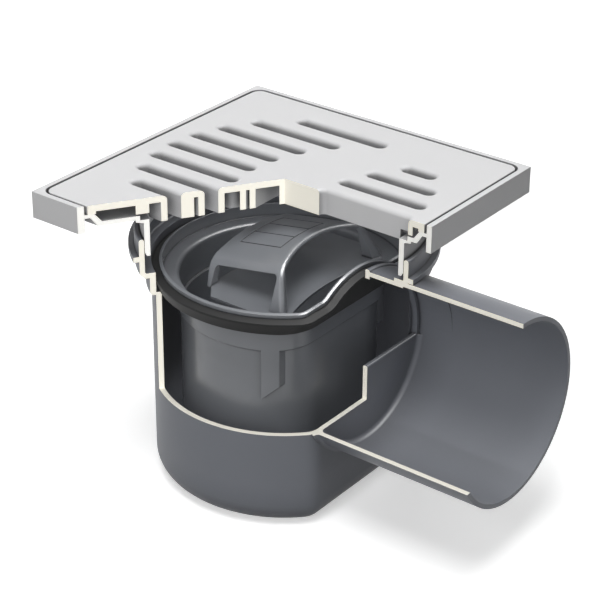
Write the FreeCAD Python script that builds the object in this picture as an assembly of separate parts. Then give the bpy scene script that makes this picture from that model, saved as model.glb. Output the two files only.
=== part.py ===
import FreeCAD, Part
import os
from math import atan2, cos, pi, radians, sin, sqrt, tan

# Floor drain with a horizontal outlet, shown in section: a square grate in its frame, a round
# spigot that slides in the body's socket, a pot with a weir, and a lift-out odour trap.
# Millimetres. +Z is up and +X points along the outlet. The origin is on the drain's vertical
# axis, at the underside of the pot.

# Outlet pipe, moulded on the body
outlet_diameter = 110.0
outlet_wall = 2.7
outlet_reach = 160.0
outlet_axis_height = 89.0

# Pot: a round tub with one flat side, which is the weir that the water flows over
pot_radius = 76.6
pot_wall = 3.2
pot_base_rounding = 12.5
pot_corner_extra = 1.5
weir_face = 60.0
weir_wall = 3.0
weir_drop = 6.4
weir_cove = 3.0
weir_top_rounding = 1.0
outlet_cove = 2.4
crown_drop = 1.0
crown_lip = 1.8
crown_bead_rise = 1.2
crown_bead_rounding = 1.2
crown_step_rise = 1.0
crown_step_half = 14.0

# Seat of the trap, above the pot, placed by the top of the outlet
seat_drop = 20.3
seat_ledge = 3.1
seat_depth = 12.6
neck_wall = 3.5
neck_chamfer = 1.6

# Socket that takes the frame's spigot
socket_step = 6.1
socket_wall = 3.1
socket_plate = 3.0
socket_top_rounding = 1.4
socket_floor_rounding = 1.2
socket_rib_width = 3.4
socket_rib_thickness = 3.1
socket_rib_height = 8.0

# Frame and its spigot
frame_side = 200.0
frame_skirt = 16.1
frame_skirt_wall = 3.3
grate_seat_depth = 5.3
grate_seat_width = 4.7
frame_ledge_thickness = 2.0
frame_floor_depth = 10.3
frame_floor_thickness = 2.4
frame_slope_run = 3.5
frame_shoulder_width = 5.3
frame_shoulder_drop = 2.8
frame_shoulder_thickness = 1.9
spigot_depth = 35.6
spigot_wall = 3.2
spigot_chamfer = 1.2
spigot_chamfer_height = 2.4
spigot_play = 0.3
spigot_gap = 3.4
spigot_overlap = 10.5
recess_corner = 7.5

# Grate
grate_play = 1.6
grate_thickness = 3.7
grate_rim_width = 3.9
grate_edge_rounding = 0.6
slot_pitch = 18.0
slot_width = 6.7
slot_rounding = 2.6
slot_margin = 10.4
slot_length = 62.3
slot_shortest = 13.4
slot_group_gap = 46.8
slot_rows = 4
slot_wall = 3.0
slot_wall_depth = 15.4
slot_wall_play = 1.6
outer_wall_play = 1.1
outer_wall_reach = 2.9
filler_width = 6.4
filler_inset = 6.7
hub_rib_width = 5.0
hub_rib_start = -2.0
cross_rib_width = 1.9
cross_rib_gap = 1.2
cross_rib_place = -12.0
cross_rib_reach = 46.0

# Trap insert: a rim with a shelf, a dip tube below it and a handle hood on four legs
insert_wall = 1.6
insert_corner = 7.5
seal_thickness = 4.7
seal_play = 0.2
shelf_width = 9.6
shelf_flat_width = 8.6
shelf_drop = 8.1
shelf_rounding = 2.5
tube_corner = 38.0
band_corner = 30.0
tube_step = 1.6
tube_step_chamfer = 1.4
tube_step_drop = 18.7
tube_end_height = 33.0
pad_left = 27.0
pad_right = 35.2
pad_depth = 22.0
rim_height = 11.4
rim_lip = 0.3
rim_lip_thickness = 2.0
rim_slope = 0.6
rim_land = 0.6
arch_blend = 10.0
arch_half = 38.0
deck_left = -21.3
deck_right = 31.2
deck_front_inset = 8.7
deck_hollow_radius = 140.0
deck_hollow_half = 40.0
deck_corner_half = 40.0
deck_front_left = -10.8
deck_notch_right = 20.0
hood_rise = 24.0
hood_tilt = 10.0
hood_roof_radius = 120.0
hood_crease = 14.0
hood_knee = 38.5
hood_foot = 54.8
hood_left = -26.3
hood_right = 20.3
hood_hollow_radius = 100.0
hood_roof = 2.6
hood_edge_rounding = 2.4
hood_way_left = -18.5
hood_way_right = 26.0
hood_way_drop = 9.2
hood_way_rounding = 2.5
hood_way_half_knee = 34.5
hood_way_half_foot = 45.5
panel_left = -16.8
panel_right = 12.6
panel_half = 19.7
panel_line = 0.7
panel_line_depth = 0.5

# Seal of the insert
seal_gap = 0.5
seal_lip_slope = 1.0
seal_lip_thickness = 1.2
seal_foot = 2.7
seal_foot_corner = 26.0
seal_web = 1.2
seal_flat_play = 0.2

# Section that opens the drain to view: a wedge between two upright planes through the axis,
# and for the body a level plane that it stops at
section_left_angle = -123.3
section_right_angle = 0.0
section_level = 60.7

# Sizes that follow from those above
outlet_radius = outlet_diameter / 2
outlet_bore = outlet_radius - outlet_wall
crown_top = outlet_axis_height + outlet_radius
weir_height = outlet_axis_height - weir_drop
weir_inside = weir_face - weir_wall
pot_corner = pot_base_rounding + pot_corner_extra
pot_bore = pot_radius - pot_wall
pot_bore_corner = pot_corner - pot_wall
way_bore = outlet_bore - crown_drop
seat_height = crown_top - seat_drop
seat_radius = pot_bore + seat_ledge
seat_corner = insert_corner + seal_thickness + seal_play
socket_floor = seat_height + seat_depth
socket_radius = seat_radius + socket_step
socket_outer = socket_radius + socket_wall
spigot_low = crown_top + spigot_gap
socket_top = spigot_low + spigot_overlap
frame_top = spigot_low + spigot_depth
frame_half = frame_side / 2
recess_half = frame_half - frame_skirt_wall
spigot_radius = socket_radius - spigot_play
spigot_bore = spigot_radius - spigot_wall
frame_mouth_radius = spigot_bore + frame_shoulder_width
grate_half = recess_half - grate_play
grate_corner = recess_corner - grate_play
slot_field_radius = grate_half - slot_margin
seal_radius = seat_radius - seal_play
seal_flat = weir_inside - seal_flat_play
insert_radius = seal_radius - seal_thickness
insert_flat = seal_flat - seal_thickness
tube_radius = insert_radius - shelf_width
tube_flat = insert_flat - shelf_flat_width
tube_step_low = seat_height - tube_step_drop
rim_top = seat_height + rim_height
rim_edge = rim_top - rim_slope
rim_lip_low = rim_edge - rim_lip_thickness
shelf_top = rim_top - shelf_drop
seal_top = rim_lip_low - seal_gap
seal_lip_high = seal_top - seal_lip_slope
seal_lip_low = seal_lip_high - seal_lip_thickness
arch_radius = outlet_radius
arch_height = rim_top - outlet_axis_height
far = 2 * (frame_side + outlet_reach)

V = FreeCAD.Vector
UP = V(0, 0, 1)
ALONG = V(1, 0, 0)


def turned(points):
    """Solid of revolution about Z from (radius, height) points."""
    corners = [V(radius, 0, height) for radius, height in points]
    face = Part.Face(Part.makePolygon(corners + corners[:1]))
    return face.revolve(V(0, 0, 0), UP, 360)


def disc(radius, low, high):
    """Upright cylinder on the drain's axis."""
    return Part.makeCylinder(radius, high - low, V(0, 0, low), UP)


def along_outlet(radius, start, end):
    """Cylinder on the outlet's axis."""
    return Part.makeCylinder(radius, end - start, V(start, 0, outlet_axis_height), ALONG)


def block(x0, x1, y0, y1, z0, z1):
    return Part.makeBox(x1 - x0, y1 - y0, z1 - z0, V(x0, y0, z0))


def rounded_square(half, corner, low, high):
    """Square plate with rounded upright corners."""
    plate = block(-half, half, -half, half, low, high)
    upright = [e for e in plate.Edges if e.BoundBox.ZLength > (high - low) / 2]
    return plate.makeFillet(corner, upright)


def d_outline(radius, flat, corner, height):
    """Round outline with one flat side at x = flat and rounded corners where they meet."""
    centre_x = flat - corner
    centre_y = sqrt((radius - corner) ** 2 - centre_x ** 2)
    turn = atan2(centre_y, centre_x)
    half_turn = turn / 2
    on_circle = V(radius * cos(turn), radius * sin(turn), height)
    on_corner = V(centre_x + corner * cos(half_turn), centre_y + corner * sin(half_turn), height)
    on_flat = V(flat, centre_y, height)

    def mirrored(point):
        return V(point.x, -point.y, point.z)

    edges = [
        Part.makeLine(mirrored(on_flat), on_flat),
        Part.Arc(on_flat, on_corner, on_circle).toShape(),
        Part.Arc(on_circle, V(-radius, 0, height), mirrored(on_circle)).toShape(),
        Part.Arc(mirrored(on_circle), mirrored(on_corner), mirrored(on_flat)).toShape(),
    ]
    return Part.Wire(edges)


def d_prism(radius, flat, corner, low, high):
    return Part.Face(d_outline(radius, flat, corner, low)).extrude(V(0, 0, high - low))


def edges_at(solid, height):
    """Edges that lie level at one height."""
    near = 0.001
    found = []
    for edge in solid.Edges:
        box = edge.BoundBox
        if abs(box.ZMin - height) < near and abs(box.ZMax - height) < near:
            found.append(edge)
    return found


def tub(radius, flat, corner, low, high, rounding):
    """D-shaped prism with a rounded lower edge."""
    prism = d_prism(radius, flat, corner, low, high)
    return prism.makeFillet(rounding, edges_at(prism, low))


def section_wedge(low, high):
    """Wedge between the two section planes, on the side of -Y and +X."""
    middle = (section_left_angle + section_right_angle) / 2
    spread = (section_right_angle - section_left_angle) / 2
    corners = [V(0, 0, low)]
    for angle in (section_left_angle, middle, section_right_angle):
        reach = far / cos(radians(spread)) if angle == middle else far
        corners.append(V(reach * cos(radians(angle)), reach * sin(radians(angle)), low))
    face = Part.Face(Part.makePolygon(corners + corners[:1]))
    return face.extrude(V(0, 0, high - low))


def make_body():
    """Pot, weir, socket and outlet, moulded in one piece."""
    pot = tub(pot_radius, weir_face, pot_corner, 0, socket_floor, pot_base_rounding)
    outlet = along_outlet(outlet_radius, weir_inside, outlet_reach)
    outer_cove = make_cove(outlet_radius, outlet_cove, 1)
    solid = pot.fuse([make_neck(), make_socket(), outlet, outer_cove])

    inside = tub(pot_bore, weir_inside, pot_bore_corner, pot_wall, seat_height,
                 pot_base_rounding - pot_wall)
    seat = d_prism(seat_radius, weir_inside, seat_corner, seat_height, socket_floor)
    bore = disc(socket_radius, socket_floor, socket_top + 1)
    bore = bore.makeFillet(socket_floor_rounding, edges_at(bore, socket_floor))
    hollow = solid.cut(inside.fuse([seat, bore]))
    hollow = hollow.makeFillet(socket_top_rounding, edges_at(hollow, socket_top))

    walls = hollow.fuse([make_crown(), make_crown_step()])
    pipe_bore = along_outlet(outlet_bore, socket_radius, outlet_reach + 1)
    way = along_outlet(outlet_bore, weir_face, socket_radius + 1)
    way = way.common(way.translated(V(0, 0, -crown_drop)))
    mouth = along_outlet(way_bore - crown_lip, weir_inside - 1, weir_face)
    weir = block(weir_inside, weir_face, -far, far, -far, weir_height)
    weir = weir.makeFillet(weir_top_rounding, [e for e in edges_at(weir, weir_height)
                                               if e.BoundBox.YLength > far])
    mouth = mouth.cut(weir)
    body = walls.cut(pipe_bore.fuse([way, mouth]))
    weir_foot = make_cove(outlet_bore, weir_cove, -1)
    weir_foot = weir_foot.cut(block(-far, far, -far, far, weir_height - weir_top_rounding, far))
    return body.fuse(weir_foot).removeSplitter()


def make_neck():
    """Wider wall round the seat, chamfered towards the pot."""
    low = seat_height - neck_chamfer
    neck = d_prism(seat_radius + neck_wall, weir_face + neck_chamfer, pot_corner, low, socket_floor)
    return neck.makeChamfer(neck_chamfer, edges_at(neck, low))


def make_socket():
    """Socket's wall with its floor and outer rib, still without its bore."""
    plate_low = socket_floor - socket_plate
    rib_low = socket_floor + socket_rib_height
    rib_high = rib_low + socket_rib_thickness
    rib_radius = socket_outer + socket_rib_width
    return turned([
        (0, plate_low),
        (socket_outer - socket_wall, plate_low),
        (socket_outer, plate_low + socket_wall),
        (socket_outer, rib_low),
        (rib_radius, rib_low),
        (rib_radius, rib_high),
        (socket_outer, rib_high),
        (socket_outer, socket_top),
        (0, socket_top),
    ])


def make_crown():
    """Outlet's upper wall where it crosses the socket, with a bead along its edge."""
    outer = outlet_radius - crown_drop
    plate = along_outlet(outer, weir_inside, socket_outer)
    bead = along_outlet(outer + crown_bead_rise, weir_inside, weir_face)
    rims = [e for e in bead.Edges if e.BoundBox.XLength < weir_wall / 2]
    return plate.fuse(bead.makeFillet(crown_bead_rounding, rims))


def make_crown_step():
    """Raised step on the crown at the foot of the socket's wall."""
    top = crown_top + crown_step_rise
    step = disc(socket_outer, socket_floor, top).cut(disc(seat_radius, socket_floor, top))
    return step.common(block(0, far, -crown_step_half, crown_step_half, socket_floor, top))


def make_cove(radius, size, side):
    """Concave fillet where the outlet leaves the weir's face: outside (1) or inside (-1)."""
    root = weir_wall / 2
    hollow_of_arc = size * (1 - cos(pi / 4))
    along_pipe = V(weir_face + size, 0, radius)
    along_face = V(weir_face, 0, radius + side * size)
    middle = V(weir_face + hollow_of_arc, 0, radius + side * hollow_of_arc)
    corners = [
        along_face,
        V(weir_face - root, 0, radius + side * size),
        V(weir_face - root, 0, radius - side * root),
        V(weir_face + size, 0, radius - side * root),
        along_pipe,
    ]
    arc = Part.Arc(along_pipe, middle, along_face).toShape()
    face = Part.Face(Part.Wire(Part.makePolygon(corners).Edges + [arc]))
    cove = face.revolve(V(0, 0, 0), ALONG, 360)
    cove.translate(V(0, 0, outlet_axis_height))
    return cove


def make_frame():
    """Square top section with the seat of the grate, and the round spigot below it."""
    skirt_low = frame_top - frame_skirt
    seat = frame_top - grate_seat_depth
    ledge_low = seat - frame_ledge_thickness
    floor = frame_top - frame_floor_depth
    floor_low = floor - frame_floor_thickness
    shoulder = floor - frame_shoulder_drop
    shoulder_low = shoulder - frame_shoulder_thickness
    collar_radius = frame_mouth_radius + frame_floor_thickness
    seat_half = recess_half - grate_seat_width
    floor_half = seat_half - frame_slope_run

    skirt = block(-frame_half, frame_half, -frame_half, frame_half, skirt_low, frame_top)
    skirt = skirt.cut(rounded_square(recess_half, recess_corner, skirt_low - 1, frame_top + 1))
    ledge = rounded_square(recess_half + frame_skirt_wall / 2, recess_corner, ledge_low, seat)
    ledge = ledge.cut(rounded_square(seat_half, recess_corner, ledge_low - 1, seat + 1))
    slope_half = seat_half + frame_ledge_thickness
    slope = square_funnel(slope_half, floor_half + frame_ledge_thickness, floor_low, ledge_low)
    slope = slope.fuse(rounded_square(slope_half, recess_corner, ledge_low, seat))
    slope = slope.cut(square_funnel(seat_half, floor_half, floor, seat))
    slope = slope.cut(rounded_square(seat_half, recess_corner, seat, frame_top))
    slope = slope.cut(disc(frame_mouth_radius, floor_low - 1, frame_top))
    collar = turned([
        (spigot_bore, spigot_low),
        (spigot_radius - spigot_chamfer, spigot_low),
        (spigot_radius, spigot_low + spigot_chamfer_height),
        (spigot_radius, shoulder_low),
        (collar_radius, shoulder_low + frame_shoulder_thickness / 2),
        (collar_radius, floor - frame_floor_thickness / 2),
        (frame_mouth_radius, floor),
        (frame_mouth_radius, shoulder),
        (spigot_bore, shoulder),
    ])
    return skirt.fuse([ledge, slope, collar]).removeSplitter()


def square_funnel(top_half, low_half, low, high):
    """Four-sided funnel with rounded corners."""
    wires = []
    for half, height in ((low_half, low), (top_half, high)):
        plate = rounded_square(half, recess_corner, height, height + 1)
        face = [f for f in plate.Faces if f.BoundBox.ZMax < height + 0.001][0]
        wires.append(face.OuterWire)
    return Part.makeLoft(wires, True, True)


def slot_spans():
    """Start, end and row of each slot: two groups inside one round field."""
    spans = []
    for row in range(-slot_rows, slot_rows + 1):
        y = row * slot_pitch
        edge = sqrt(slot_field_radius ** 2 - y ** 2)
        left_end = -edge + slot_length
        spans.append((-edge, left_end, y))
        right_start = left_end + slot_group_gap
        if edge - right_start > slot_shortest:
            spans.append((right_start, edge, y))
    return spans


def stadium(start, end, y, half, low, high):
    """Long hole with round ends, from start to end along X."""
    reach = half - slot_width / 2
    x0 = start + slot_width / 2
    x1 = end - slot_width / 2
    corners = [V(x, y + side * half, low) for x, side in ((x0, -1), (x1, -1), (x1, 1), (x0, 1))]
    wire = Part.Wire([
        Part.makeLine(corners[0], corners[1]),
        Part.Arc(corners[1], V(end + reach, y, low), corners[2]).toShape(),
        Part.makeLine(corners[2], corners[3]),
        Part.Arc(corners[3], V(start - reach, y, low), corners[0]).toShape(),
    ])
    return Part.Face(wire).extrude(V(0, 0, high - low))


def make_grate():
    """Square grate: a plate with two groups of slots, each slot walled down to its own depth."""
    top = frame_top
    plate_low = top - grate_thickness
    seat = top - grate_seat_depth
    deep = top - slot_wall_depth
    shallow = top - frame_floor_depth + outer_wall_play
    half = slot_width / 2
    deep_radius = spigot_bore - slot_wall_play
    shallow_radius = slot_field_radius + outer_wall_reach

    plate = rounded_square(grate_half, grate_corner, plate_low, top)
    rim = rounded_square(grate_half, grate_corner, seat, plate_low)
    rim = rim.cut(rounded_square(grate_half - grate_rim_width, grate_corner, seat - 1, plate_low + 1))

    spans = slot_spans()
    ribs = [stadium(start, end, y, half + slot_wall, deep, plate_low) for start, end, y in spans]
    for side in (-1, 1):
        y = side * ((slot_rows - 1) * slot_pitch - half - slot_wall)
        start = -sqrt(slot_field_radius ** 2 - y ** 2) + filler_inset
        end = start + slot_length - 2 * filler_inset
        ribs.append(block(start, end, y - filler_width / 2, y + filler_width / 2, deep, plate_low))
    hub_end = slot_length + slot_group_gap - slot_field_radius
    ribs.append(block(hub_rib_start, hub_end, -hub_rib_width / 2, hub_rib_width / 2, deep, plate_low))
    step = (cross_rib_width + cross_rib_gap) / 2
    for place in (cross_rib_place - step, cross_rib_place + step):
        ribs.append(block(place - cross_rib_width / 2, place + cross_rib_width / 2,
                          -cross_rib_reach, cross_rib_reach, deep, plate_low))
    allowed = disc(deep_radius, deep, plate_low).fuse(disc(shallow_radius, shallow, plate_low))
    ribs = ribs[0].fuse(ribs[1:]).common(allowed)
    grate = plate.fuse([rim, ribs])

    holes = [stadium(start, end, y, half, deep - 1, top + 1) for start, end, y in spans]
    grate = grate.cut(holes[0].fuse(holes[1:])).removeSplitter()
    slot_edges = [e for e in edges_at(grate, top) if not on_outer_edge(e)]
    grate = grate.makeFillet(slot_rounding, slot_edges)
    outer_edges = [e for e in edges_at(grate, top) if on_outer_edge(e)]
    return grate.makeFillet(grate_edge_rounding, outer_edges)


def on_outer_edge(edge):
    """Whether an edge runs along the grate's outer border."""
    box = edge.BoundBox
    reach = max(abs(box.XMin), abs(box.XMax), abs(box.YMin), abs(box.YMax))
    return reach > grate_half - 0.01


def make_insert():
    """Lift-out trap: rim with an arch over the outlet, shelf, dip tube, deck and hood."""
    cup = make_rim().fuse(make_tube())
    inner = insert_wall
    opening = d_prism(tube_radius - inner, tube_flat - inner, tube_corner - inner,
                      tube_step_low + inner, rim_top)
    cup = cup.cut(opening)
    shelf_edge = d_outline(tube_radius - inner, tube_flat - inner, tube_corner - inner, shelf_top)
    cup = cup.makeFillet(shelf_rounding, edges_along(cup, shelf_edge))
    return cup.fuse([make_deck(), make_hood()]).removeSplitter()


def d_taper(low_size, low, high_size, high):
    """Ruled solid between two D outlines, each given as radius, flat and corner."""
    wires = [d_outline(*low_size, low), d_outline(*high_size, high)]
    return Part.makeLoft(wires, True, True)


def around_insert(offset):
    """Radius, flat and corner of the insert's outline, grown by an offset."""
    return (insert_radius + offset, insert_flat + offset, insert_corner + offset)


def arch_outline(x, drop, low):
    """Level rim that rises over the outlet in an arch, seen along the outlet."""
    radius = arch_radius - drop
    blend = arch_blend + drop
    base = rim_top - drop
    blend_height = arch_height + arch_blend
    blend_y = sqrt((arch_radius + arch_blend) ** 2 - blend_height ** 2)
    turn = atan2(blend_height, blend_y)
    half_turn = (turn + pi / 2) / 2

    def on_arch(angle, side):
        return V(x, side * radius * cos(angle), outlet_axis_height + radius * sin(angle))

    def on_blend(angle, side):
        return V(x, side * (blend_y - blend * cos(angle)), base + blend - blend * sin(angle))

    corners = [V(x, -blend_y, base), V(x, -arch_half, base), V(x, -arch_half, low),
               V(x, arch_half, low), V(x, arch_half, base), V(x, blend_y, base)]
    arcs = [
        Part.Arc(on_blend(pi / 2, 1), on_blend(half_turn, 1), on_arch(turn, 1)).toShape(),
        Part.Arc(on_arch(turn, 1), on_arch(pi / 2, 1), on_arch(turn, -1)).toShape(),
        Part.Arc(on_arch(turn, -1), on_blend(half_turn, -1), on_blend(pi / 2, -1)).toShape(),
    ]
    return Part.Wire(Part.makePolygon(corners).Edges + arcs)


def arch_body(start, start_drop, end, end_drop, low):
    """Solid below the rim's arch, from one place along X to another."""
    wires = [arch_outline(start, start_drop, low), arch_outline(end, end_drop, low)]
    return Part.makeLoft(wires, True, True)


def make_rim():
    """Upright rim with its sloped lip, which rises in an arch over the outlet."""
    inner = insert_flat - insert_wall
    lip_end = insert_flat + rim_lip
    below_lip = rim_top - rim_lip_low
    wall = d_prism(insert_radius, insert_flat, insert_corner, seat_height, rim_edge)
    lip = d_prism(*around_insert(rim_lip), rim_lip_low, rim_edge)
    slope = d_taper(around_insert(rim_lip), rim_edge, around_insert(rim_land - insert_wall), rim_top)
    arch = arch_body(inner, 0, inner + rim_land, 0, shelf_top)
    arch = arch.fuse(arch_body(inner + rim_land, 0, lip_end, rim_slope, shelf_top))
    below = arch_body(insert_flat, below_lip, lip_end + 1, below_lip, shelf_top - 1)
    above = d_prism(*around_insert(-insert_wall), shelf_top, rim_top + 1)
    return lip.fuse([slope, arch]).cut(below).fuse(wall).cut(above)


def make_tube():
    """Dip tube below the shelf: a wider band at its top and a pad at each corner of it."""
    tube = d_prism(tube_radius - tube_step, tube_flat - tube_step, tube_corner - tube_step,
                   tube_end_height, shelf_top)
    band = d_prism(tube_radius, tube_flat, band_corner, tube_step_low, shelf_top)
    band = band.makeChamfer(tube_step_chamfer, edges_at(band, tube_step_low))
    pad_low = tube_step_low - pad_depth
    pad_width = pad_right - pad_left
    corners = [
        V(pad_left, -tube_radius, tube_step_low + tube_step),
        V(pad_right, -tube_radius, tube_step_low + tube_step),
        V(pad_right, -tube_radius, pad_low),
        V(pad_left, -tube_radius, pad_low - pad_width),
    ]
    pads = Part.Face(Part.makePolygon(corners + corners[:1])).extrude(V(0, 2 * tube_radius, 0))
    pads = pads.common(d_prism(tube_radius, tube_flat, band_corner, pad_low - pad_width,
                               tube_step_low + tube_step))
    inset = tube_step + insert_wall
    bore = d_prism(tube_radius - inset, tube_flat - inset, tube_corner - inset,
                   tube_end_height - pad_depth, tube_step_low + insert_wall)
    return tube.fuse([band, pads]).cut(bore)


def edges_along(solid, outline):
    """Edges that lie on a given outline."""
    near = 0.001
    found = []
    for edge in solid.Edges:
        middle = edge.valueAt((edge.FirstParameter + edge.LastParameter) / 2)
        if outline.distToShape(Part.Vertex(middle))[0] < near:
            found.append(edge)
    return found


def make_deck():
    """Plate under the hood, tied to the shelf at its two corners by the outlet."""
    low = shelf_top - insert_wall
    front = tube_radius - deck_front_inset
    plate = block(deck_left, tube_flat, -tube_radius, tube_radius, low, shelf_top)
    plate = plate.common(d_prism(tube_radius, tube_flat, tube_corner, low, shelf_top))
    hollow_centre = V(deck_right + deck_hollow_radius, 0, low)
    hollow = Part.makeCylinder(deck_hollow_radius, insert_wall, hollow_centre, UP)
    plate = plate.cut(hollow.common(block(0, far, -deck_hollow_half, deck_hollow_half, low, shelf_top)))
    for side in (-1, 1):
        near = min(side * front, side * far)
        away = max(side * front, side * far)
        plate = plate.cut(block(deck_front_left, deck_notch_right, near, away, low, shelf_top))
        corners = [
            V(deck_left, side * deck_corner_half, low),
            V(deck_front_left, side * front, low),
            V(deck_front_left, side * far, low),
            V(deck_left - 1, side * far, low),
            V(deck_left - 1, side * deck_corner_half, low),
        ]
        corner = Part.Face(Part.makePolygon(corners + corners[:1]))
        plate = plate.cut(corner.extrude(V(0, 0, insert_wall)))
    return plate


def hood_body(start, end, roof, half_foot, half_knee, low):
    """Prism along X with two leaning sides under a domed roof of the given height."""
    knee = roof - hood_roof_radius + sqrt(hood_roof_radius ** 2 - half_knee ** 2)
    corners = [
        V(start, half_knee, knee),
        V(start, half_foot, low),
        V(start, -half_foot, low),
        V(start, -half_knee, knee),
    ]
    dome = Part.Arc(corners[3], V(start, 0, roof), corners[0]).toShape()
    face = Part.Face(Part.Wire(Part.makePolygon(corners).Edges + [dome]))
    return face.extrude(V(end - start, 0, 0))


def make_hood():
    """Handle hood: an arch on four legs, tilted up towards the outlet."""
    top = shelf_top + hood_rise
    low = shelf_top - hood_rise
    pivot = V(0, 0, top)
    arch = hood_body(hood_left, hood_right + hood_foot, top, hood_foot, hood_knee, low)
    creases = [e for e in arch.Edges if e.BoundBox.XLength > 1 and e.BoundBox.ZMin > shelf_top]
    arch = arch.makeFillet(hood_crease, creases)
    lines = make_panel_lines()
    lowered = arch.translated(V(0, 0, -panel_line_depth))
    hollow_centre = V(hood_right + hood_hollow_radius, 0, low - hood_rise)
    arch = arch.cut(Part.makeCylinder(hood_hollow_radius, 4 * hood_rise, hollow_centre, UP))
    arch = arch.makeFillet(hood_edge_rounding, [e for e in arch.Edges if on_hood_rim(e)])
    arch = arch.cut(lines.cut(lowered))
    arch.rotate(pivot, V(0, 1, 0), -hood_tilt)

    side_way = hood_body(-far, far, top - hood_roof, hood_way_half_foot, hood_way_half_knee, low)
    side_way.rotate(pivot, V(0, 1, 0), -hood_tilt)
    rise = tan(radians(hood_tilt))
    way_top = top - hood_way_drop
    corners = [
        V(hood_way_left, -far, low),
        V(hood_way_right, -far, low),
        V(hood_way_right, -far, way_top + hood_way_right * rise),
        V(hood_way_left, -far, way_top + hood_way_left * rise),
    ]
    front_way = Part.Face(Part.makePolygon(corners + corners[:1])).extrude(V(0, 2 * far, 0))
    crown_edges = [
        e for e in front_way.Edges if e.BoundBox.YLength > far and e.BoundBox.ZMin > shelf_top
    ]
    front_way = front_way.makeFillet(hood_way_rounding, crown_edges)
    keep = block(-far, far, -far, far, shelf_top - insert_wall / 2, far)
    return arch.cut(side_way.fuse(front_way)).common(keep)


def on_hood_rim(edge):
    """Whether an edge runs along the hood's left or right upper border."""
    box = edge.BoundBox
    if box.ZMin < shelf_top - hood_rise + 0.01 and box.ZLength < 0.01:
        return False
    left = abs(box.XMax - hood_left) < 0.01 and abs(box.XMin - hood_left) < 0.01
    right = box.XMin > hood_right - 0.01
    return left or right


def make_panel_lines():
    """Grooves that outline three plain fields on the hood's top, still as upright walls."""
    top = shelf_top + hood_rise
    low = top - hood_rise / 2
    half = panel_line / 2
    field = 2 * panel_half / 3
    lines = []
    for step in range(4):
        y = -panel_half + step * field
        lines.append(block(panel_left, panel_right, y - half, y + half, low, top + 1))
    for x in (panel_left, panel_right):
        lines.append(block(x - half, x + half, -panel_half - half, panel_half + half, low, top + 1))
    return lines[0].fuse(lines[1:])


def make_seal():
    """Soft ring round the insert's rim, with a lip that follows the arch over the outlet."""
    web_end = insert_flat + seal_web
    lip_start = insert_flat + rim_lip
    lip_corner = insert_corner + seal_thickness
    lip_size = (seal_radius, seal_flat, lip_corner)
    top_drop = rim_top - seal_top
    edge_drop = rim_top - seal_lip_high
    foot_size = (insert_radius + seal_foot, web_end, seal_foot_corner)
    foot = d_taper(foot_size, seat_height, lip_size, seal_lip_low)
    edge = d_prism(*lip_size, seal_lip_low, seal_lip_high)
    slope = d_taper(lip_size, seal_lip_high, around_insert(rim_lip), seal_top)
    arch = arch_body(insert_flat, top_drop, lip_start, top_drop, seal_lip_low)
    arch = arch.fuse(arch_body(lip_start, top_drop, seal_flat, edge_drop, seal_lip_low))
    web = arch_body(insert_flat, top_drop, web_end, top_drop, seat_height)
    mouth = along_outlet(arch_radius - edge_drop - seal_lip_thickness, web_end, far)
    core = d_prism(insert_radius, insert_flat, insert_corner, seat_height - 1, seal_top + 1)
    ring = foot.fuse([edge, slope, arch]).cut(mouth)
    return ring.fuse(web).cut(core).removeSplitter()


def write(name, shape):
    solids = shape.Solids
    print(name, "solids", len(solids), "valid", shape.isValid(), "volume", round(shape.Volume))
    result = solids[0] if len(solids) == 1 else Part.makeCompound(solids)
    result.exportStep("parts/" + name + ".step")


os.makedirs("parts", exist_ok=True)
full_height = section_wedge(-far, far)
above_level = section_wedge(section_level, far)
write("body", make_body().cut(above_level))
write("frame", make_frame().cut(full_height))
write("grate", make_grate().cut(full_height))
write("trap_insert", make_insert())
write("trap_seal", make_seal())
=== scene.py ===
from math import cos, radians, sin

import bpy
from mathutils import Matrix, Vector

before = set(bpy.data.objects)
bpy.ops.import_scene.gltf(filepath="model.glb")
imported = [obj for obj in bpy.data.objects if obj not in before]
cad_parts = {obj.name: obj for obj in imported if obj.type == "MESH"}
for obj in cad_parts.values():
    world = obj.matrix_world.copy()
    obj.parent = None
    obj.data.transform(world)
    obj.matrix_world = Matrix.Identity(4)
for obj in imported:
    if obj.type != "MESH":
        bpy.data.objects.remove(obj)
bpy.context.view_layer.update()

# Looks of the floor drain shown in section. Metres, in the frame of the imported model: +Z is up,
# +X points along the outlet, and the origin is under the pot, on the drain's vertical axis.

MM = 0.001
WHITE = (1, 1, 1, 1)

# Camera, fitted to the photograph: pixels of its square frame, degrees and metres
PHOTO_SIDE = 600
PHOTO_CENTRE = (284.41, 304.305)
PHOTO_FOCUS = 1993.2
SENSOR_WIDTH = 36.0
CAMERA_AZIMUTH = 37.922
CAMERA_ELEVATION = 28.159
CAMERA_ROLL = 0.125
CAMERA_TARGET = Vector((0, 0, 0.103))
CAMERA_DISTANCE = 1.1582
CAMERA_NEAREST = 0.01
CAMERA_FARTHEST = 100

# Section of the model: the angle of its left plane from +X, and the level where the pot's section
# ends. Its right plane holds +X
SECTION_LEFT_ANGLE = -123.3
SECTION_LEVEL = 60.7 * MM

# A face belongs to a section plane if it lies this near to it, and if the cosine of the angle
# between its normal and the plane's is over this
SECTION_REACH = 0.03 * MM
SECTION_FACING = 0.99

# Cut faces: a drawn section shows no shade, so the two upright ones give off light of their own
CUT_ROUGHNESS = 0.6
CUT_GLOW_LEFT = 0.5
CUT_GLOW_RIGHT = 0.2

# Painted shade: how far round a point a surface is looked for, in hollows, and seams and fine
# grooves
LIGHT_HOLLOW_SHADE_REACH = 14.0 * MM
TRAP_HOLLOW_SHADE_REACH = 16.0 * MM
BODY_HOLLOW_SHADE_REACH = 28.0 * MM
SEAM_REACH = 1.6 * MM
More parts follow.
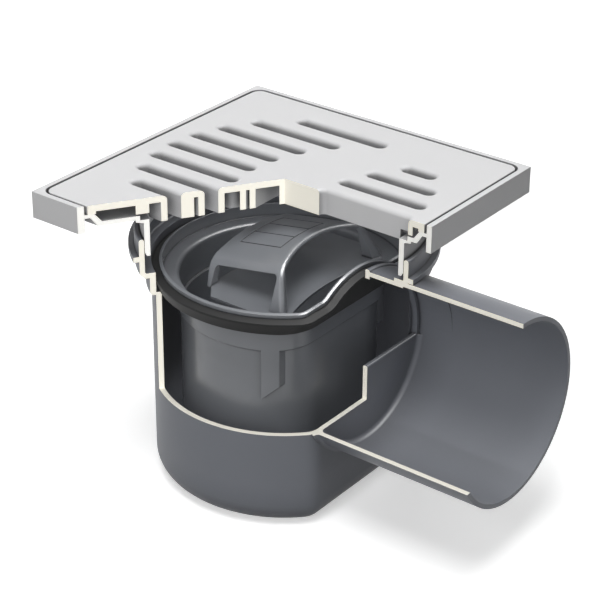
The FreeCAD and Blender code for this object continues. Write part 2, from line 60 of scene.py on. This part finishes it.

# How open a seam is where its painted shade is darkest and where it ends, and the share of colour
# kept
SEAM_CLOSED = 0.4
SEAM_OPEN = 0.95
SEAM_SHADE = 0.25
SHADE_SAMPLES = 8

# Unevenness of moulded surfaces. Noise scales are per metre, and a noise mostly lies in this range
NOISE_LOW = 0.3
NOISE_HIGH = 0.7
CLOUD_SCALE = 14.0
GLOSS_SCALE = 60.0
GLOSS_SPREAD = 0.01
GRAIN_STRENGTH = 0.35
EDGE_SAMPLES = 8

# Floor, and the grey in which it and the world light the object
FLOOR_SIDE = 12.0
FLOOR_SHADE = 0.97
FLOOR_GRAIN_SCALE = 40.0
FLOOR_ROUGHNESS = 0.5
FLOOR_GREY = 0.12
WORLD_GREY = 0.12

# Light of the floor's own that the camera and reflections see: its strength near and far, and
# those two distances from the drain's axis
FLOOR_GLOW_NEAR = 0.4
FLOOR_GLOW_FAR = 1.0
FLOOR_NEAR = 0.35
FLOOR_FAR = 1.4

# What most lamps are aimed at
OBJECT_MIDDLE = (0, 0, 0.1)


def srgb(red, green, blue):
    """Linear colour of an sRGB colour given in 0 to 255."""
    def linear(value):
        share = value / 255
        return share / 12.92 if share <= 0.04045 else ((share + 0.055) / 1.055) ** 2.4
    return (linear(red), linear(green), linear(blue), 1)


# Colours of cut faces
CREAM = srgb(250, 246, 233)
NEAR_WHITE = srgb(254, 253, 248)


class Tree:
    """Node tree of a material or of the world, with short calls to add and join nodes."""

    def __init__(self, owner):
        owner.use_nodes = True
        self.nodes = owner.node_tree.nodes
        self.links = owner.node_tree.links
        self.nodes.clear()

    def add(self, kind, settings=None, **inputs):
        node = self.nodes.new("ShaderNode" + kind)
        for key, value in (settings or {}).items():
            setattr(node, key, value)
        for key, value in inputs.items():
            self.put(node.inputs[key.replace("_", " ")], value)
        return node

    def put(self, socket, value):
        if isinstance(value, bpy.types.NodeSocket):
            self.links.new(value, socket)
        else:
            socket.default_value = value

    def math(self, operation, first, second=0.0, third=0.0):
        node = self.add("Math", {"operation": operation})
        for socket, value in zip(node.inputs, (first, second, third)):
            self.put(socket, value)
        return node.outputs[0]

    def dot(self, first, second):
        node = self.add("VectorMath", {"operation": "DOT_PRODUCT"})
        self.put(node.inputs[0], first)
        self.put(node.inputs[1], second)
        return node.outputs["Value"]

    def length(self, vector):
        node = self.add("VectorMath", {"operation": "LENGTH"})
        self.put(node.inputs[0], vector)
        return node.outputs["Value"]

    def scale(self, colour, factor):
        node = self.add("VectorMath", {"operation": "SCALE"})
        self.put(node.inputs[0], colour)
        self.put(node.inputs["Scale"], factor)
        return node.outputs[0]

    def mix(self, share, first, second):
        """Colour that goes from first to second as share goes from 0 to 1."""
        node = self.add("Mix", {"data_type": "RGBA"}, Factor=share)
        self.put(node.inputs[6], first)
        self.put(node.inputs[7], second)
        return node.outputs[2]

    def ramp(self, value, start, end, low, high):
        """Number that goes from low to high as value goes from start to end."""
        node = self.add("MapRange", Value=value, From_Min=start, From_Max=end, To_Min=low,
                        To_Max=high)
        return node.outputs[0]

    def noise(self, place, scale, detail=2.0, roughness=0.5):
        node = self.add("TexNoise", Vector=place, Scale=scale, Detail=detail, Roughness=roughness)
        return node.outputs["Fac"]

    def spread(self, noise, low, high):
        """A noise's usual range, mapped to low and high."""
        return self.ramp(noise, NOISE_LOW, NOISE_HIGH, low, high)

    def openness(self, reach):
        """1 where no surface is within reach, towards 0 in a tight corner."""
        node = self.add("AmbientOcclusion", {"samples": SHADE_SAMPLES}, Distance=reach)
        return node.outputs["AO"]


def on_plane(tree, place, normal, outward, offset):
    """1 on the faces that lie in one section plane, 0 elsewhere."""
    near = tree.math("COMPARE", tree.dot(place, outward), offset, SECTION_REACH)
    faces = tree.math("GREATER_THAN", tree.dot(normal, outward), SECTION_FACING)
    return tree.math("MULTIPLY", near, faces)


def cut_faces(tree, place, with_level):
    """Share of cut face, and the strength of the light that it gives off."""
    normal = tree.add("NewGeometry").outputs["True Normal"]
    left_angle = radians(SECTION_LEFT_ANGLE)
    left = on_plane(tree, place, normal, (-sin(left_angle), cos(left_angle), 0), 0.0)
    right = on_plane(tree, place, normal, (0, -1, 0), 0.0)
    share = tree.math("MAXIMUM", left, right)
    right_glow = tree.math("MULTIPLY", right, CUT_GLOW_RIGHT)
    glow = tree.math("MULTIPLY_ADD", left, CUT_GLOW_LEFT, right_glow)
    if with_level:
        level = on_plane(tree, place, normal, (0, 0, 1), SECTION_LEVEL)
        share = tree.math("MAXIMUM", share, level)
    return share, glow


def paint_hollow_shade(tree, colour, hollow_shade, reach):
    """Colour with shade painted in: it turns to the hollows' colour in hollows, and is darker still
    in seams and fine grooves.
    """
    # Painted shade: the colour turns towards the hollows' colour where surfaces come close
    hollow_shaded = tree.mix(tree.openness(reach), hollow_shade, colour)
    # Painted shade: darker still in seams and fine grooves
    seam = tree.ramp(tree.openness(SEAM_REACH), SEAM_CLOSED, SEAM_OPEN, SEAM_SHADE, 1.0)
    return tree.scale(hollow_shaded, seam)


def moulded(name, colour, shade, rough, specular, grain, grain_depth, edge, hollow_shade, reach,
            cut=None, with_level=False):
    """Moulded plastic or rubber, slightly clouded between colour and shade, with a fine grain,
    uneven gloss, soft edges and shade painted into hollows, seams and fine grooves. Faces in
    the section planes take the colour cut."""
    material = bpy.data.materials.new(name)
    tree = Tree(material)
    place = tree.add("TexCoord").outputs["Object"]
    clouds = tree.spread(tree.noise(place, CLOUD_SCALE, detail=3.0), 0.0, 1.0)
    # Painted shade in hollows, seams and fine grooves
    base = paint_hollow_shade(tree, tree.mix(clouds, shade, colour), hollow_shade, reach)
    uneven = tree.noise(place, GLOSS_SCALE, detail=4.0, roughness=0.6)
    gloss = tree.spread(uneven, rough - GLOSS_SPREAD, rough + GLOSS_SPREAD)
    fine = tree.noise(place, grain, detail=3.0, roughness=0.6)
    soft = tree.add("Bevel", {"samples": EDGE_SAMPLES}, Radius=edge).outputs[0]
    bump = tree.add("Bump", Height=fine, Strength=GRAIN_STRENGTH, Distance=grain_depth, Normal=soft)
    glow = 0.0
    if cut is not None:
        share, glow = cut_faces(tree, place, with_level)
        base = tree.mix(share, base, cut)
        gloss = tree.math("ADD", gloss, tree.math("MULTIPLY", share, CUT_ROUGHNESS - rough))
    shader = tree.add("BsdfPrincipled", Base_Color=base, Roughness=gloss, Normal=bump.outputs[0],
                      Specular_IOR_Level=specular, Emission_Color=cut or WHITE,
                      Emission_Strength=glow)
    tree.add("OutputMaterial", Surface=shader.outputs[0])
    return material


def make_body_plastic():
    """Satin dark grey, cream where it is cut."""
    # The colour given for hollows is painted shade
    return moulded("body_plastic", colour=srgb(130, 133, 140), shade=srgb(127, 130, 137),
                   rough=0.45, specular=0.25, grain=1500.0, grain_depth=0.006 * MM, edge=0.4 * MM,
                   hollow_shade=srgb(66, 67, 72), reach=BODY_HOLLOW_SHADE_REACH, cut=CREAM, with_level=True)


def make_trap_plastic():
    """Dark grey, glossier than the body, and nowhere cut."""
    # The colour given for hollows is painted shade
    return moulded("trap_plastic", colour=srgb(130, 133, 138), shade=srgb(127, 130, 135),
                   rough=0.26, specular=0.6, grain=1700.0, grain_depth=0.006 * MM, edge=0.5 * MM,
                   hollow_shade=srgb(82, 83, 88), reach=TRAP_HOLLOW_SHADE_REACH)


def make_light_plastic(name, cut):
    """Matt light grey of the frame and the grate, which differ only in the colour of their cut."""
    # The colour given for hollows is painted shade
    return moulded(name, colour=srgb(221, 221, 222), shade=srgb(218, 218, 219), rough=0.55,
                   specular=0.3, grain=2200.0, grain_depth=0.03 * MM, edge=0.3 * MM,
                   hollow_shade=srgb(66, 66, 68), reach=LIGHT_HOLLOW_SHADE_REACH, cut=cut)


def make_seal_rubber():
    """Matt black, nowhere cut."""
    # The colour given for hollows is painted shade
    return moulded("seal_rubber", colour=srgb(34, 34, 35), shade=srgb(31, 31, 31), rough=0.55,
                   specular=0.2, grain=2500.0, grain_depth=0.02 * MM, edge=0.4 * MM,
                   hollow_shade=srgb(16, 16, 16), reach=LIGHT_HOLLOW_SHADE_REACH)


def dress_nodes():
    """Gives each sub-part its finish. The model's meshes stay as they are."""
    finishes = {
        "body": make_body_plastic(),
        "frame": make_light_plastic("frame_plastic", cut=NEAR_WHITE),
        "grate": make_light_plastic("grate_plastic", cut=CREAM),
        "trap_insert": make_trap_plastic(),
        "trap_seal": make_seal_rubber(),
    }
    for node, material in finishes.items():
        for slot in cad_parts[node].material_slots:
            slot.material = material


def seen_share(tree):
    """1 for what the camera, a reflection or a clear body sees, 0 for light on surfaces."""
    path = tree.add("LightPath").outputs
    seen = tree.math("MAXIMUM", path["Is Camera Ray"], path["Is Glossy Ray"])
    return tree.math("MAXIMUM", seen, path["Is Transmission Ray"])


def make_floor():
    """Floor that looks pale, lights the object only weakly and keeps the object's shadow."""
    half = FLOOR_SIDE / 2
    corners = [(-half, -half, 0), (half, -half, 0), (half, half, 0), (-half, half, 0)]
    mesh = bpy.data.meshes.new("floor")
    mesh.from_pydata(corners, [], [(0, 1, 2, 3)])
    floor = bpy.data.objects.new("floor", mesh)
    bpy.context.scene.collection.objects.link(floor)
    material = bpy.data.materials.new("floor")
    tree = Tree(material)
    place = tree.add("TexCoord").outputs["Object"]
    seen = seen_share(tree)
    grain = tree.spread(tree.noise(place, FLOOR_GRAIN_SCALE), FLOOR_SHADE, 1.0)
    pale = tree.add("CombineColor", Red=grain, Green=grain, Blue=grain).outputs[0]
    colour = tree.mix(seen, (FLOOR_GREY, FLOOR_GREY, FLOOR_GREY, 1), pale)
    lit = tree.add("BsdfDiffuse", Color=colour, Roughness=FLOOR_ROUGHNESS)
    glow = tree.ramp(tree.length(place), FLOOR_NEAR, FLOOR_FAR, FLOOR_GLOW_NEAR, FLOOR_GLOW_FAR)
    shine = tree.add("Emission", Color=WHITE, Strength=tree.math("MULTIPLY", seen, glow))
    both = tree.add("AddShader")
    tree.put(both.inputs[0], lit.outputs[0])
    tree.put(both.inputs[1], shine.outputs[0])
    tree.add("OutputMaterial", Surface=both.outputs[0])
    mesh.materials.append(material)


def make_world():
    """World that looks white and lights the object only weakly."""
    world = bpy.data.worlds.new("studio")
    bpy.context.scene.world = world
    tree = Tree(world)
    colour = tree.mix(seen_share(tree), (WORLD_GREY, WORLD_GREY, WORLD_GREY, 1), WHITE)
    light = tree.add("Background", Color=colour, Strength=1.0)
    tree.add("OutputWorld", Surface=light.outputs[0])


def add_softbox(name, place, aim, width, length, watts, shadow=True, matt=True, gloss=True):
    """Rectangular lamp; its length runs as near to upright, or along Y, as its aim lets it.
    matt and gloss say which part of a surface's look it lights."""
    lamp = bpy.data.lights.new(name, "AREA")
    lamp.shape = "RECTANGLE"
    lamp.size = width
    lamp.size_y = length
    lamp.energy = watts
    lamp.use_shadow = shadow
    box = bpy.data.objects.new(name, lamp)
    bpy.context.scene.collection.objects.link(box)
    box.location = place
    box.rotation_euler = (Vector(aim) - Vector(place)).to_track_quat("-Z", "Y").to_euler()
    box.visible_diffuse = matt
    box.visible_glossy = gloss


def make_lamps():
    """Two lamps that shape the object, one behind it, two fills without shadow that reach its
    inside, and a wide one that only draws the bright lines on glossy edges."""
    add_softbox("key", place=(0.35, -2.0, 1.25), aim=(0, 0, 0.09), width=1.1, length=1.1, watts=8)
    add_softbox("overhead", place=(0.15, -0.5, 2.1), aim=OBJECT_MIDDLE, width=1.0, length=1.0,
                watts=20.5)
    add_softbox("back", place=(-1.5, 1.4, 0.85), aim=OBJECT_MIDDLE, width=1.0, length=1.0, watts=15,
                gloss=False)
    add_softbox("top_fill", place=(-0.2, 0.3, 2.3), aim=OBJECT_MIDDLE, width=1.0, length=1.0,
                watts=8, shadow=False, gloss=False)
    add_softbox("side_fill", place=(0.7, -1.9, 0.45), aim=OBJECT_MIDDLE, width=0.9, length=0.9,
                watts=8, shadow=False, gloss=False)
    add_softbox("edge_strip", place=(0.75, 0.7, 1.53), aim=(0.75, 0.7, 0), width=1.3, length=2.0,
                watts=170, shadow=False, matt=False)


def make_camera():
    """Camera that sees the object as the photograph does."""
    azimuth, elevation = radians(CAMERA_AZIMUTH), radians(CAMERA_ELEVATION)
    back = Vector((sin(azimuth) * cos(elevation), -cos(azimuth) * cos(elevation), sin(elevation)))
    right = Vector((cos(azimuth), sin(azimuth), 0))
    up = back.cross(right)
    turn = Matrix((right, up, back)).transposed().to_4x4()
    roll = Matrix.Rotation(radians(CAMERA_ROLL), 4, "Z")
    lens = bpy.data.cameras.new("camera")
    lens.sensor_width = SENSOR_WIDTH
    lens.lens = SENSOR_WIDTH * PHOTO_FOCUS / PHOTO_SIDE
    lens.shift_x = (PHOTO_SIDE / 2 - PHOTO_CENTRE[0]) / PHOTO_SIDE
    lens.shift_y = (PHOTO_CENTRE[1] - PHOTO_SIDE / 2) / PHOTO_SIDE
    lens.clip_start = CAMERA_NEAREST
    lens.clip_end = CAMERA_FARTHEST
    camera = bpy.data.objects.new("camera", lens)
    bpy.context.scene.collection.objects.link(camera)
    camera.matrix_world = Matrix.Translation(CAMERA_TARGET + back * CAMERA_DISTANCE) @ turn @ roll
    bpy.context.scene.camera = camera


dress_nodes()
make_floor()
make_world()
make_lamps()
make_camera()
bpy.context.scene.view_settings.view_transform = "Standard"
